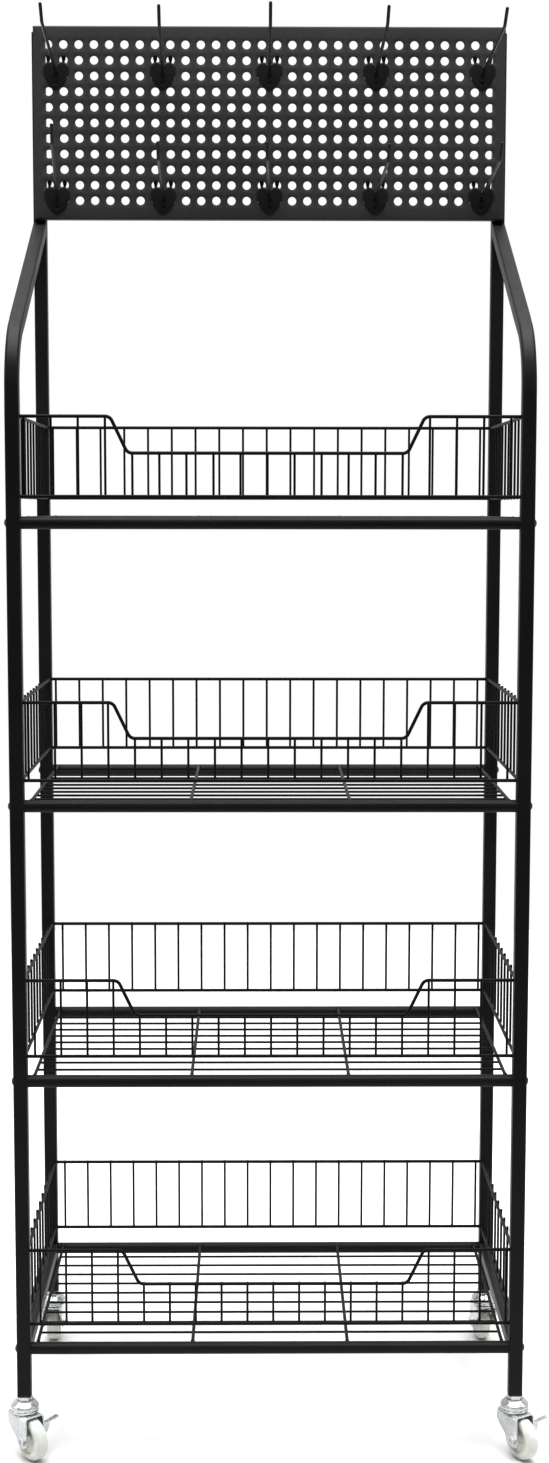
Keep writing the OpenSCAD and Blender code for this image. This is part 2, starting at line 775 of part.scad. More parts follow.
front_post_left();
front_post_right();
rear_post_left();
rear_post_right();
side_rail_left();
side_rail_right();
rear_post_caps();
shelf_1_tubes();
shelf_2_tubes();
shelf_3_tubes();
shelf_4_tubes();
shelf_1_deck();
shelf_2_deck();
shelf_3_deck();
shelf_4_deck();
front_guard_1();
front_guard_2();
front_guard_3();
front_guard_4();
rear_guard_1();
rear_guard_2();
rear_guard_3();
rear_guard_4();
side_guards_1();
side_guards_2();
side_guards_3();
side_guards_4();
tube_inserts();
shelf_bolts();
pegboard();
pegboard_screws();
hook_upper_1();
hook_upper_2();
hook_upper_3();
hook_upper_4();
hook_upper_5();
hook_lower_1();
hook_lower_2();
hook_lower_3();
hook_lower_4();
hook_lower_5();
stem_sockets();
caster_stems();
caster_cups();
caster_nuts();
swivel_balls();
fork_front_left();
fork_front_right();
fork_rear_left();
fork_rear_right();
axle_front_left();
axle_front_right();
axle_rear_left();
axle_rear_right();
wheel_front_left();
wheel_front_right();
wheel_rear_left();
wheel_rear_right();
brake_lever_left();
brake_lever_right();
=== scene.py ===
"""Looks for a rolling pegboard display stand: materials, fine pieces, floor, lights and camera."""

import json
import math
import random

import bmesh
import bpy
from mathutils import Matrix, Vector
from mathutils.geometry import tessellate_polygon


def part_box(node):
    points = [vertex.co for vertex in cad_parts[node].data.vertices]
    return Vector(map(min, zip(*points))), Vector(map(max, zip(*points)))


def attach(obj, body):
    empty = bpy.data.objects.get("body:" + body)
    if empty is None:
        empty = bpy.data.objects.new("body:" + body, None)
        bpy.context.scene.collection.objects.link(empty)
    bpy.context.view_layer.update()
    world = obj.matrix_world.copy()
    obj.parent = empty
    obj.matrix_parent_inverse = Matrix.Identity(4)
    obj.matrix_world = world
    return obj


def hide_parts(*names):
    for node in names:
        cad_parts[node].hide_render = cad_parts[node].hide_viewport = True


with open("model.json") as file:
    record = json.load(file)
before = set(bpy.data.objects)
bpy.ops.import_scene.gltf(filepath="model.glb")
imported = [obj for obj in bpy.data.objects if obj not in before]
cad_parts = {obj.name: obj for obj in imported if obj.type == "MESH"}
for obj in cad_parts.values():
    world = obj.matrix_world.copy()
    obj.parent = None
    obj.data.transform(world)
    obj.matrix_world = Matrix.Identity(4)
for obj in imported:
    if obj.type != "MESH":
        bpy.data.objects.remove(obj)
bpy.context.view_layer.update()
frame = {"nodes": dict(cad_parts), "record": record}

# ---- sizes, in metres, from the frame ----

MM = 0.001
SIDES = (-1, 1)
SHELVES = (1, 2, 3, 4)
CASTERS = ("front_left", "front_right", "rear_left", "rear_right")
HOOKS = [f"{row}_{k}" for row in ("upper", "lower") for k in range(1, 6)]
JOINTS = {joint["name"]: joint for joint in frame["record"]["behaviour"]["joints"]}


def middle(node):
    low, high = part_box(node)
    return (low + high) / 2


def size(node):
    low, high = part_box(node)
    return high - low


POST_W = size("rear_post_left").x
POST_X = middle("rear_post_right").x
POST_Y = middle("rear_post_right").y
POST_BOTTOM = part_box("front_post_left")[0].z
INNER_X = POST_X - POST_W / 2
INNER_Y = POST_Y - POST_W / 2
SHELF_Z = {n: middle(f"shelf_{n}_tubes").z for n in SHELVES}
TUBE_R = size("shelf_1_tubes").z / 2

# The posts' corners and bend, the peg holes, and the wires, as in the CAD model
POST_CORNER = 2 * MM
ARM_SLOPE = math.radians(28)
BEND_R = 85 * MM
BOARD_LOW, BOARD_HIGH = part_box("pegboard")
SHEET = 1.2 * MM
PEG_PITCH = 20 * MM
PEG_R = 5.5 * MM
PEG_COLS, PEG_ROWS = 30, 11
HOOK_R = 2 * MM
WIRE_R = 1.4 * MM
RAIL_R = 2 * MM
ROD_R = 2 * MM
WIRE_PITCH = 32 * MM
DECK_PITCH = 32.5 * MM
DECK_Z = 2.5 * MM
GUARD_POSTS = 9
GUARD_LOW, GUARD_DIP, GUARD_TOP = 31 * MM, 82 * MM, 125 * MM
DIP_X = 186 * MM
REAR_SET = 1.5 * MM
SIDE_WIRES = 9
DECK_SIDE_WIRES = 4
FRONT_SHIFTS = {1: -3.75 * MM, 2: -2.75 * MM, 3: 1 * MM, 4: 4 * MM}
REAR_SHIFTS = {1: -3.25 * MM, 2: -3 * MM, 3: 2.75 * MM, 4: 2.5 * MM}


# ---- camera ----

def add_camera():
    """Stands 2.6 m in front of the middle, level with the top shelf, looking slightly down."""
    place = Vector((-0.0153, -2.5891, 1.1704))
    turn, down, roll = 0.0083, 0.1088, -0.0010
    picture_height = 1463
    focal_in_pixels = 2028.5
    look = Vector((math.sin(turn) * math.cos(down), math.cos(turn) * math.cos(down), -math.sin(down)))
    right = Vector((math.cos(turn), -math.sin(turn), 0))
    up = right.cross(look)
    right, up = right * math.cos(roll) - up * math.sin(roll), up * math.cos(roll) + right * math.sin(roll)
    data = bpy.data.cameras.new("camera")
    data.sensor_fit = "VERTICAL"
    data.sensor_height = 36
    data.lens = data.sensor_height * focal_in_pixels / picture_height
    data.clip_end = 50
    camera = bpy.data.objects.new("camera", data)
    camera.matrix_world = Matrix.Translation(place) @ Matrix((right, up, -look)).transposed().to_4x4()
    bpy.context.scene.collection.objects.link(camera)
    bpy.context.scene.camera = camera


# ---- material helpers ----

class Nodes:
    """A short way to build a node tree around one Principled shader."""

    def __init__(self, name):
        self.material = bpy.data.materials.new(name)
        self.material.use_nodes = True
        self.tree = self.material.node_tree
        self.shader = next(n for n in self.tree.nodes if n.type == "BSDF_PRINCIPLED")
        self.place = self.add("ShaderNodeTexCoord").outputs["Object"]

    def add(self, kind, **settings):
        node = self.tree.nodes.new(kind)
        for key, value in settings.items():
            setattr(node, key, value)
        return node

    def join(self, source, target):
        self.tree.links.new(source, target)

    def set(self, **values):
        for key, value in values.items():
            self.shader.inputs[key.replace("_", " ")].default_value = value

    def noise(self, scale, detail=3, roughness=0.5, stretch=None):
        node = self.add("ShaderNodeTexNoise")
        node.inputs["Scale"].default_value = scale
        node.inputs["Detail"].default_value = detail
        node.inputs["Roughness"].default_value = roughness
        place = self.place
        if stretch:
            mapping = self.add("ShaderNodeMapping")
            mapping.inputs["Scale"].default_value = stretch
            self.join(place, mapping.inputs["Vector"])
            place = mapping.outputs["Vector"]
        self.join(place, node.inputs["Vector"])
        return node.outputs["Fac"]

    def spread(self, source, low, high, start=0.3, end=0.7):
        """Maps a noise to a number between low and high."""
        node = self.add("ShaderNodeMapRange")
        node.inputs["From Min"].default_value = start
        node.inputs["From Max"].default_value = end
        node.inputs["To Min"].default_value = low
        node.inputs["To Max"].default_value = high
        self.join(source, node.inputs["Value"])
        return node.outputs["Result"]

    def blend(self, factor, first, second):
        """Mixes two colours."""
        node = self.add("ShaderNodeMix", data_type="RGBA")
        self.join(factor, node.inputs["Factor"])
        for socket, colour in ((node.inputs["A"], first), (node.inputs["B"], second)):
            if isinstance(colour, bpy.types.NodeSocket):
                self.join(colour, socket)
            else:
                socket.default_value = (*colour, 1)
        return node.outputs["Result"]

    def colour(self, noise, first, second):
        """Lets the base colour wander between two colours."""
        paint = self.blend(self.spread(noise, 0, 1), first, second)
        self.join(paint, self.shader.inputs["Base Color"])

    def roughness(self, noise, low, high):
        """Lets the roughness wander between two values."""
        self.join(self.spread(noise, low, high), self.shader.inputs["Roughness"])

    def facing_up(self):
        """1 where the surface faces up, 0 where it faces sideways or down."""
        split = self.add("ShaderNodeSeparateXYZ")
        self.join(self.add("ShaderNodeNewGeometry").outputs["Normal"], split.inputs["Vector"])
        return self.spread(split.outputs["Z"], 0, 1, 0.4, 1)

    def bump(self, *layers):
        """Each layer is (height, strength, distance); they are stacked on one another."""
        normal = None
        for height, strength, distance in layers:
            node = self.add("ShaderNodeBump")
            node.inputs["Strength"].default_value = strength
            node.inputs["Distance"].default_value = distance
            self.join(height, node.inputs["Height"])
            if normal:
                self.join(normal, node.inputs["Normal"])
            normal = node.outputs["Normal"]
        self.join(normal, self.shader.inputs["Normal"])


# ---- materials ----

def powder_coat(name, dark, light, rough, grain, level=0.5):
    """Baked powder coat from dark to light grey, with orange peel and a trace of dust on top."""
    n = Nodes(name)
    slow = n.noise(9, 4)
    speck = n.noise(grain, 2, 0.6)
    paint = n.blend(n.spread(slow, 0, 1), (dark,) * 3, (light,) * 3)
    dusty = (1.8 * light + 0.004,) * 3
    dust = n.add("ShaderNodeMath", operation="MULTIPLY")
    n.join(n.facing_up(), dust.inputs[0])
    n.join(n.spread(n.noise(45, 5, 0.7), 0, 0.35, 0.45, 0.75), dust.inputs[1])
    n.join(n.blend(dust.outputs["Value"], paint, dusty), n.shader.inputs["Base Color"])
    n.roughness(slow, rough - 0.05, rough + 0.06)
    n.set(Specular_IOR_Level=level)
    n.bump((speck, 0.25, 0.0003), (n.noise(grain / 6, 2), 0.12, 0.0006))
    return n.material


def zinc_plate():
    """Bright zinc plating: metal with faint streaks, a warm passivated cast and fine handling marks."""
    n = Nodes("zinc_plate")
    n.colour(n.noise(55, 4), (0.50, 0.52, 0.53), (0.62, 0.63, 0.62))
    n.roughness(n.noise(160, 5, 0.7, (1, 1, 0.25)), 0.18, 0.34)
    n.set(Metallic=0.75)
    n.bump((n.noise(900, 3, 0.7), 0.10, 0.0002), (n.noise(120, 2), 0.10, 0.0006))
    return n.material


def white_nylon():
    """Moulded nylon: milky off-white with cloudy depth and a fine skin."""
    n = Nodes("white_nylon")
    cloud = n.noise(60, 4)
    n.colour(cloud, (0.60, 0.61, 0.56), (0.69, 0.70, 0.66))
    n.roughness(n.noise(300, 3), 0.34, 0.48)
    n.set(Subsurface_Weight=0.12, Subsurface_Scale=0.002)
    n.bump((n.noise(1400, 2), 0.08, 0.0002), (cloud, 0.10, 0.0008))
    return n.material


def black_plastic():
    """Moulded black plastic with a fine spark-eroded texture."""
    n = Nodes("black_plastic")
    slow = n.noise(40, 3)
    n.colour(slow, (0.010, 0.010, 0.010), (0.020, 0.020, 0.021))
    n.roughness(slow, 0.5, 0.62)
    n.bump((n.noise(2200, 2, 0.6), 0.3, 0.0002))
    return n.material


def black_oxide():
    """Blackened steel fasteners: dark metal with a thin oil sheen."""
    n = Nodes("black_oxide")
    slow = n.noise(140, 4)
    n.colour(slow, (0.018, 0.018, 0.019), (0.040, 0.039, 0.038))
    n.roughness(slow, 0.28, 0.42)
    n.set(Metallic=0.6)
    n.bump((n.noise(1600, 2), 0.15, 0.0002))
    return n.material


MATERIALS = {
    "frame_powder_coat": powder_coat("frame_powder_coat", 0.016, 0.021, 0.40, 1100, 0.12),
    "wire_powder_coat": powder_coat("wire_powder_coat", 0.010, 0.014, 0.42, 1500, 0.10),
    "panel_powder_coat": powder_coat("panel_powder_coat", 0.032, 0.041, 0.55, 1300, 0.25),
    "hook_gloss_coat": powder_coat("hook_gloss_coat", 0.014, 0.018, 0.28, 500, 0.2),
    "black_fasteners": black_oxide(),
    "black_plastic": black_plastic(),
    "zinc_steel": zinc_plate(),
    "white_nylon": white_nylon(),
}

# Widths of the hardware's softened edges in mm, by the start of the node's name
SOFT_EDGES = {
    "fork": 0.35, "axle": 0.3, "brake_lever": 0.35,
    "caster_nuts": 0.35, "caster_stems": 0.3, "caster_cups": 0.2, "stem_sockets": 0.4,
    "shelf_bolts": 0.25, "pegboard_screws": 0.25, "rear_post_caps": 0.6,
}


def finish_cad_nodes():
    """Gives each CAD node its material, and softens the edges of the hardware."""
    for entry in frame["record"]["subparts"]:
        name = entry["node"]
        node = frame["nodes"][name]
        node.data.materials.clear()
        node.data.materials.append(MATERIALS[entry["material_slot"]])
        width = next((w for start, w in SOFT_EDGES.items() if name.startswith(start)), None)
        if not width:
            continue
        weld = node.modifiers.new("weld", "WELD")
        weld.merge_threshold = 0.002 * MM
        bevel = node.modifiers.new("bevel", "BEVEL")
        bevel.width = width * MM
        bevel.segments = 2
        bevel.limit_method = "ANGLE"
        bevel.angle_limit = math.radians(35)
        bevel.harden_normals = True


# ---- shape helpers ----

def make_piece(name, points, faces, slot, body, smooth=30, closed=True):
    """Makes a named piece that rides on a body and takes its finish from a material slot."""
    mesh = bpy.data.meshes.new(name)
    mesh.from_pydata([tuple(p) for p in points], [], faces)
    if closed:
        bm = bmesh.new()
        bm.from_mesh(mesh)
        bmesh.ops.recalc_face_normals(bm, faces=bm.faces)
        bm.to_mesh(mesh)
        bm.free()
    mesh.polygons.foreach_set("use_smooth", [True] * len(mesh.polygons))
    mesh.validate()
    mesh.materials.append(MATERIALS[slot])
    mesh.set_sharp_from_angle(angle=math.radians(smooth))
    piece = bpy.data.objects.new(name, mesh)
    bpy.context.scene.collection.objects.link(piece)
    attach(piece, body)
    return piece


def join_shapes(*shapes):
    """Joins several (points, faces) pairs into one."""
    points, faces = [], []
    for more_points, more_faces in shapes:
        start = len(points)
        points += more_points
        faces += [tuple(start + i for i in face) for face in more_faces]
    return points, faces


def tube_of_rings(rings, capped=True):
    """Faces for a stack of closed rings that all have the same number of points."""
    count = len(rings[0])
    points = [p for ring in rings for p in ring]
    faces = []
    for k in range(len(rings) - 1):
        for i in range(count):
            j = (i + 1) % count
            faces.append((k * count + i, k * count + j, (k + 1) * count + j, (k + 1) * count + i))
    if capped:
        faces.append(tuple(reversed(range(count))))
        faces.append(tuple(range(len(points) - count, len(points))))
    return points, faces


def loop_of_rings(rings):
    """As tube_of_rings, with the last ring joined to the first."""
    points, faces = tube_of_rings(rings, capped=False)
    count, last = len(rings[0]), len(points) - len(rings[0])
    for i in range(count):
        j = (i + 1) % count
        faces.append((last + i, last + j, j, i))
    return points, faces


def lathe(profile, centre, axis, steps=96):
    """Turns a closed outline of (radius, distance along the axis) about an axis."""
    axis = Vector(axis).normalized()
    out = axis.orthogonal().normalized()
    rings = []
    for k in range(steps):
        ray = Matrix.Rotation(2 * math.pi * k / steps, 3, axis) @ out
        rings.append([centre + ray * r + axis * a for r, a in profile])
    return loop_of_rings(rings)


def rounded_path(corners, radius, steps=8):
    """A polyline with each inner corner replaced by an arc."""
    path = [corners[0]]
    for before, corner, after in zip(corners, corners[1:], corners[2:]):
        a = (before - corner).normalized()
        b = (after - corner).normalized()
        half = a.angle(b) / 2
        middle_of_arc = corner + (a + b).normalized() * radius / math.sin(half)
        start = corner + a * radius / math.tan(half) - middle_of_arc
        end = corner + b * radius / math.tan(half) - middle_of_arc
        for k in range(steps + 1):
            ray = start.slerp(end, k / steps)
            path.append(middle_of_arc + ray * radius / ray.length)
    return path + [corners[-1]]


def round_bar(path, radius, side, steps=20, nose=4):
    """A round bar along a path that bends in the plane across side, with a domed end."""
    rings = []
    for k, here in enumerate(path):
        along = (path[min(k + 1, len(path) - 1)] - path[max(k - 1, 0)]).normalized()
        up = side.cross(along)
        rings.append([
            here + (side * math.cos(t) + up * math.sin(t)) * radius
            for t in (2 * math.pi * i / steps for i in range(steps))
        ])
    end = path[-1]
    for k in range(1, nose + 1):
        t = k / (nose + 0.25) * math.pi / 2
        rings.append([
            end + (p - end) * math.cos(t) + along * radius * math.sin(t)
            for p in rings[len(path) - 1]
        ])
    return tube_of_rings(rings)


def nugget(centre, reach, rng):
    """A small uneven blob of weld metal; reach is its half size along X, Y and Z."""
    rings_up, around = 4, 8
    turn = rng.uniform(0, math.pi)
    grow = [rng.uniform(0.85, 1.15) for _ in range(around)]
    rings = []
    for k in range(rings_up):
        lift = math.pi * ((k + 0.5) / rings_up - 0.5)
        rings.append([
            centre + Vector((
                reach[0] * math.cos(lift) * math.cos(turn + 2 * math.pi * i / around) * grow[i],
                reach[1] * math.cos(lift) * math.sin(turn + 2 * math.pi * i / around) * grow[i],
                reach[2] * math.sin(lift),
            ))
            for i in range(around)
        ])
    return tube_of_rings(rings)


# ---- front posts ----

# Where the tube is bent its outward face bulges and its corners are rounder; the change
# starts this far before the bend
BEND_CROWN = 0.55 * MM
BEND_ROUNDER = 1.6 * MM
BEND_LEAD = 30 * MM
LEAD_STEPS, BEND_STEPS, FACE_STEPS = 6, 24, 8


def post_section(crown, corner, steps=6):
    """A square section as (across, outwards): its outward face bulges by crown at the middle."""
    half = POST_W / 2
    section = []
    for quarter in range(4):
        start = quarter * math.pi / 2
        cx = (half - corner) * (1 if quarter in (0, 3) else -1)
        cy = (half - corner) * (1 if quarter in (0, 1) else -1)
        for k in range(steps + 1):
            t = start + math.pi / 2 * k / steps
            section.append([cx + corner * math.cos(t), cy + corner * math.sin(t)])
        if quarter == 0:
            span = half - corner
            for k in range(1, FACE_STEPS):
                section.append([span - 2 * span * k / FACE_STEPS, half])
    for point in section:
        if point[1] > 0:
            point[1] -= crown * (point[0] / half) ** 2
    return section


def front_post(side):
    """The bent post; the tube's front face is drawn into a slight crown where it is bent."""
    bend = math.pi / 2 - ARM_SLOPE
    arm_top_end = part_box("front_post_left")[1].z
    arm_end = arm_top_end - POST_W / 2 / math.cos(ARM_SLOPE)
    corner_z = arm_end - (INNER_Y + POST_Y) * math.tan(ARM_SLOPE)
    bend_z = corner_z - BEND_R * math.tan(bend / 2)
    rings = []

    def ring(y, z, lean, bent):
        section = post_section(BEND_CROWN * bent, POST_CORNER + BEND_ROUNDER * bent)
        out = Vector((0, -math.cos(lean), math.sin(lean)))
        return [Vector((side * POST_X + a, y, z)) + out * b for a, b in section]

    def eased(t):
        return t * t * (3 - 2 * t)

    leads = [k / LEAD_STEPS for k in range(LEAD_STEPS + 1)]
    rings.append(ring(-POST_Y, POST_BOTTOM, 0, 0))
    for part in leads:
        rings.append(ring(-POST_Y, bend_z - BEND_LEAD * (1 - part), 0, 0.5 * eased(part)))
    for k in range(1, BEND_STEPS):
        t = bend * k / BEND_STEPS
        bent = 0.5 + 0.5 * math.sin(math.pi * k / BEND_STEPS)
        rings.append(ring(-POST_Y + BEND_R * (1 - math.cos(t)), bend_z + BEND_R * math.sin(t), t, bent))
    start = Vector((0, -POST_Y + BEND_R * (1 - math.cos(bend)), bend_z + BEND_R * math.sin(bend)))
    along = Vector((0, math.sin(bend), math.cos(bend)))
    for part in leads:
        here = start + along * BEND_LEAD * part
        rings.append(ring(here.y, here.z, bend, 0.5 * eased(1 - part)))
    rings.append([point + along * ((INNER_Y - point.y) / along.y) for point in rings[-1]])
    name = "left" if side < 0 else "right"
    piece = make_piece(f"bent_post_{name}", *tube_of_rings(rings), "frame_powder_coat", "frame", 40)
    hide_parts(f"front_post_{name}")


# ---- panel ----

def panel():
    """The perforated tray: drawn hole rims, rounded folds, four flanges and two lips."""
    centre = (BOARD_LOW + BOARD_HIGH) / 2
    front, back = BOARD_LOW.y, BOARD_HIGH.y
    half_w, half_h = (BOARD_HIGH.x - BOARD_LOW.x) / 2, (BOARD_HIGH.z - BOARD_LOW.z) / 2
    fold, rim, lip = 2.2 * MM, 0.45 * MM, 14 * MM
    same_place = 0.01 * MM
    hole_steps, fold_steps = 24, 6
    bm = bmesh.new()

    def add(x, y, z):
        return bm.verts.new((centre.x + x, y, centre.z + z))

    def skin(inner, outer, closed=True):
        for k in range(len(inner) if closed else len(inner) - 1):
            n = (k + 1) % len(inner)
            bm.faces.new((inner[k], outer[k], outer[n], inner[n]))

    half = PEG_PITCH / 2
    turns = [2 * math.pi * k / hole_steps for k in range(hole_steps)]
    for i in range(PEG_COLS):
        for j in range(PEG_ROWS):
            x = (i - (PEG_COLS - 1) / 2) * PEG_PITCH
            z = (j - (PEG_ROWS - 1) / 2) * PEG_PITCH
            rings = [
                [add(x + r * math.cos(t), front + dip, z + r * math.sin(t)) for t in turns]
                for r, dip in ((PEG_R, rim), (PEG_R + 0.3 * rim, 0.35 * rim), (PEG_R + rim, 0))
            ]
            edge = [half / max(abs(math.cos(t)), abs(math.sin(t))) for t in turns]
            border = [add(x + r * math.cos(t), front, z + r * math.sin(t)) for r, t in zip(edge, turns)]
            rings.append(border)
            for inner, outer in zip(rings, rings[1:]):
                skin(inner, outer)
    bmesh.ops.remove_doubles(bm, verts=bm.verts, dist=0.001 * MM)

    grid_w, grid_h = PEG_COLS * half, PEG_ROWS * half

    def on_border(v):
        across = abs(abs(v.co.x - centre.x) - grid_w)
        upwards = abs(abs(v.co.z - centre.z) - grid_h)
        return min(across, upwards) < same_place

    loop = [v for v in bm.verts if on_border(v)]
    loop.sort(key=lambda v: math.atan2((v.co.z - centre.z) / grid_h, (v.co.x - centre.x) / grid_w))
    places = [((v.co.x - centre.x) / grid_w, (v.co.z - centre.z) / grid_h) for v in loop]

    def outline(w, h, y):
        return [add(x * w, y, z * h) for x, z in places]

    rings = [loop]
    for k in range(fold_steps + 1):
        t = math.pi / 2 * k / fold_steps
        out = fold * (1 - math.sin(t))
        rings.append(outline(half_w - out, half_h - out, front + fold * (1 - math.cos(t))))
    rings.append(outline(half_w, half_h, back))
    for inner, outer in zip(rings, rings[1:]):
        skin(inner, outer)
    for side in SIDES:
        edge = [v for v, (x, z) in zip(rings[-1], places) if abs(x - side) < 0.001]
        edge.sort(key=lambda v: side * v.co.z)
        skin(edge, [bm.verts.new(v.co - Vector((side * lip, 0, 0))) for v in edge], closed=False)

    mesh = bpy.data.meshes.new("panel")
    bm.to_mesh(mesh)
    points, faces = [v.co.copy() for v in mesh.vertices], [tuple(p.vertices) for p in mesh.polygons]
    bm.free()
    bpy.data.meshes.remove(mesh)
    piece = make_piece("perforated_panel", points, faces, "panel_powder_coat", "frame", closed=False)
    thick = piece.modifiers.new("sheet", "SOLIDIFY")
    thick.thickness = SHEET
    thick.offset = -1
    thick.use_even_offset = True
    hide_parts("pegboard")


# ---- hooks ----

PLATE_T = 1.5 * MM
PLATE_GAP = 0.25 * MM
LOBE_R, LOBE_X = 8.9 * MM, 8.1 * MM
WAIST, TIP, TIP_R = 11 * MM, 37.5 * MM, 7 * MM
HOLE_Z, HOLE_STEPS = -29 * MM, 24
PRONG_T = 1.8 * MM
NECK_HALF_W = 1.6 * MM
ROD_START = -16 * MM
KINK_R = 12 * MM
# The plate's turned-back rim as (inset, depth), and its drawn hole as (radius, depth), in mm
RIM = (0, 1.5), (0, 1.3), (0.25, 0.85), (0.8, 0.42), (1.6, 0.12), (2.6, 0)
HOLE = (2.4, 0), (1.95, 0.12), (1.8, 0.45), (1.8, 1.5)
# A leg behind the sheet as (across, up), and the rod's boss as (radius, height), in mm
LEG = (-1.6, -1), (1.6, -1), (2.9, 3.5), (2.4, 10), (-2.4, 10), (-2.9, 3.5)
BOSS = (0.5, -0.5), (2.9, -0.5), (3.1, 0.9), (2.7, 1.5), (2.0, 1.8), (0.5, 1.8)
HOOK_TIP_SLOPE = math.radians(38)
HOOK_SLOPE = math.radians(4.5)
HOOK_REACH, HOOK_TIP_LEN = 230 * MM, 21 * MM


def plate_outline():
    """The plate's outline as (x, z) with its inward direction: a shield under two lobes.

    Its right side is three arcs, from the bottom up: the round tip, a big arc that runs
    straight up into the lobe, and the lobe, which ends in the notch between the two.
    """
    half_w = LOBE_X + LOBE_R
    drop = TIP - WAIST
    big = ((drop - TIP_R) ** 2 + half_w * half_w - TIP_R * TIP_R) / (2 * (half_w - TIP_R))
    shift = big - half_w
    foot = math.atan2(drop - TIP_R, shift)
    notch = math.acos(-LOBE_X / LOBE_R)
    right = []
    for k in range(1, 7):
        right.append((0, TIP_R - TIP, TIP_R, -math.pi / 2 + (math.pi / 2 - foot) * k / 7))
    for k in range(0, 13):
        right.append((-shift, -WAIST, big, -foot * (1 - k / 12)))
    for k in range(1, 14):
        right.append((LOBE_X, -WAIST, LOBE_R, notch * k / 14))
    points = [((0, -TIP), (0, 1))]
    points += [((cx + r * math.cos(t), cz + r * math.sin(t)), (-math.cos(t), -math.sin(t)))
               for cx, cz, r, t in right]
    points.append(((0, -WAIST + LOBE_R * math.sin(notch)), (0, -1)))
    points += [((-x, z), (-dx, dz)) for (x, z), (dx, dz) in reversed(points[1:-1])]
    return points


def prism(outline, y0, y1):
    """A flat outline of (x, z) carried from y0 to y1."""
    return tube_of_rings([[Vector((x, y, z)) for x, z in outline] for y in (y0, y1)])


def block(x, half_w, z0, z1, y0, y1):
    """A bar of rectangular section, from y0 to y1."""
    return prism([(x - half_w, z0), (x + half_w, z0), (x + half_w, z1), (x - half_w, z1)], y0, y1)


def stamped_plate(face):
    """The plate, with a turned-back rim and a drawn hole; face is where its front lies in Y."""
    edge = plate_outline()
    turns = [2 * math.pi * k / HOLE_STEPS for k in range(HOLE_STEPS)]
    loops = [
        [Vector((x + dx * inset * MM, face + depth * MM, z + dz * inset * MM)) for (x, z), (dx, dz) in edge]
        for inset, depth in RIM
    ]
    hole = [
        [Vector((r * MM * math.cos(t), face + depth * MM, HOLE_Z + r * MM * math.sin(t))) for t in turns]
        for r, depth in HOLE
    ]
    points, faces = join_shapes(tube_of_rings(loops, capped=False), tube_of_rings(hole, capped=False))
    count = len(edge)
    start = len(loops) * count
    front = (start - count, start)
    back = (0, len(points) - HOLE_STEPS)
    for outer, inner in (front, back):
        both = [points[outer:outer + count], points[inner:inner + HOLE_STEPS]]
        flat = [[Vector((p.x, p.z, 0)) for p in ring] for ring in both]
        index = [outer + k for k in range(count)] + [inner + k for k in range(HOLE_STEPS)]
        faces += [tuple(index[i] for i in tri) for tri in tessellate_polygon(flat)]
    return points, faces


def hook(name):
    """One peg hook: plate, two prongs, rivet boss and bent rod, placed where the CAD hook is."""
    node = f"hook_{name}"
    hinge_x, _, hinge_z = JOINTS[f"tilt_hook_{name}"]["pos_m"]
    hinge = Vector((hinge_x, BOARD_LOW.y + SHEET / 2, hinge_z))
    face = -SHEET / 2 - PLATE_GAP - PLATE_T
    neck_front = face + 0.1 * MM
    leg_front = SHEET / 2 + PLATE_GAP
    leg_back = leg_front + PRONG_T
    shapes = [stamped_plate(face)]
    for side in SIDES:
        x = side * PEG_PITCH / 2
        shapes.append(block(x, NECK_HALF_W, -3 * MM, 1 * MM, neck_front, face + PLATE_T))
        shapes.append(block(x, NECK_HALF_W, -1 * MM, 1 * MM, neck_front, leg_back))
        shapes.append(prism([(x + a * MM, b * MM) for a, b in LEG], leg_front, leg_back))
    start = Vector((0, face, ROD_START))
    shapes.append(lathe([(r * MM, a * MM) for r, a in BOSS], start, (0, -1, 0), 24))

    run = HOOK_REACH - HOOK_TIP_LEN + face
    kink = Vector((0, -run, run * math.tan(HOOK_SLOPE)))
    tip = kink + Vector((0, -HOOK_TIP_LEN, HOOK_TIP_LEN * math.tan(HOOK_TIP_SLOPE)))
    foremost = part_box(node)[0].y + 0.3 * MM
    ends = [v.co for v in frame["nodes"][node].data.vertices if v.co.y < foremost]
    aim = sum(ends, Vector()) / len(ends) - hinge - start
    turn = math.atan2(aim.x, -aim.y)
    lift = math.atan2(aim.z, math.hypot(aim.x, aim.y)) - math.atan2(tip.z, -tip.y)
    lean = Matrix.Rotation(turn, 3, "Z") @ Matrix.Rotation(-lift, 3, "X")
    path = [start + lean @ p for p in rounded_path([Vector((0, 0.5 * MM, 0)), kink, tip], KINK_R)]
    shapes.append(round_bar(path, HOOK_R, lean @ Vector((1, 0, 0))))
    points, faces = join_shapes(*shapes)
    points = [hinge + p for p in points]
    piece = make_piece(f"peg_hook_{name}", points, faces, "hook_gloss_coat", f"peg_hook_{name}")
    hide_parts(node)


# ---- wheels ----

# Half of the wheel's section as (radius, distance from its middle plane) in mm: bore, hub,
# dished web and rim, then the rounded shoulder and the moulding's parting line
WHEEL_SIDE = (
    (3.05, 11.2), (3.35, 11.5), (6.2, 11.5), (6.7, 11.2), (7.0, 7.6), (7.9, 6.1), (9, 5.7), (14.6, 5.5),
    (15.8, 5.9), (16.8, 7.4), (17.5, 8.2), (18.4, 8.5),
)
SHOULDER_AT, SHOULDER_R, SHOULDER_STEPS = (20, 2.6), 5.9, 8
PARTING_LINE = (25.92, 0.3), (26.0, 0.15)


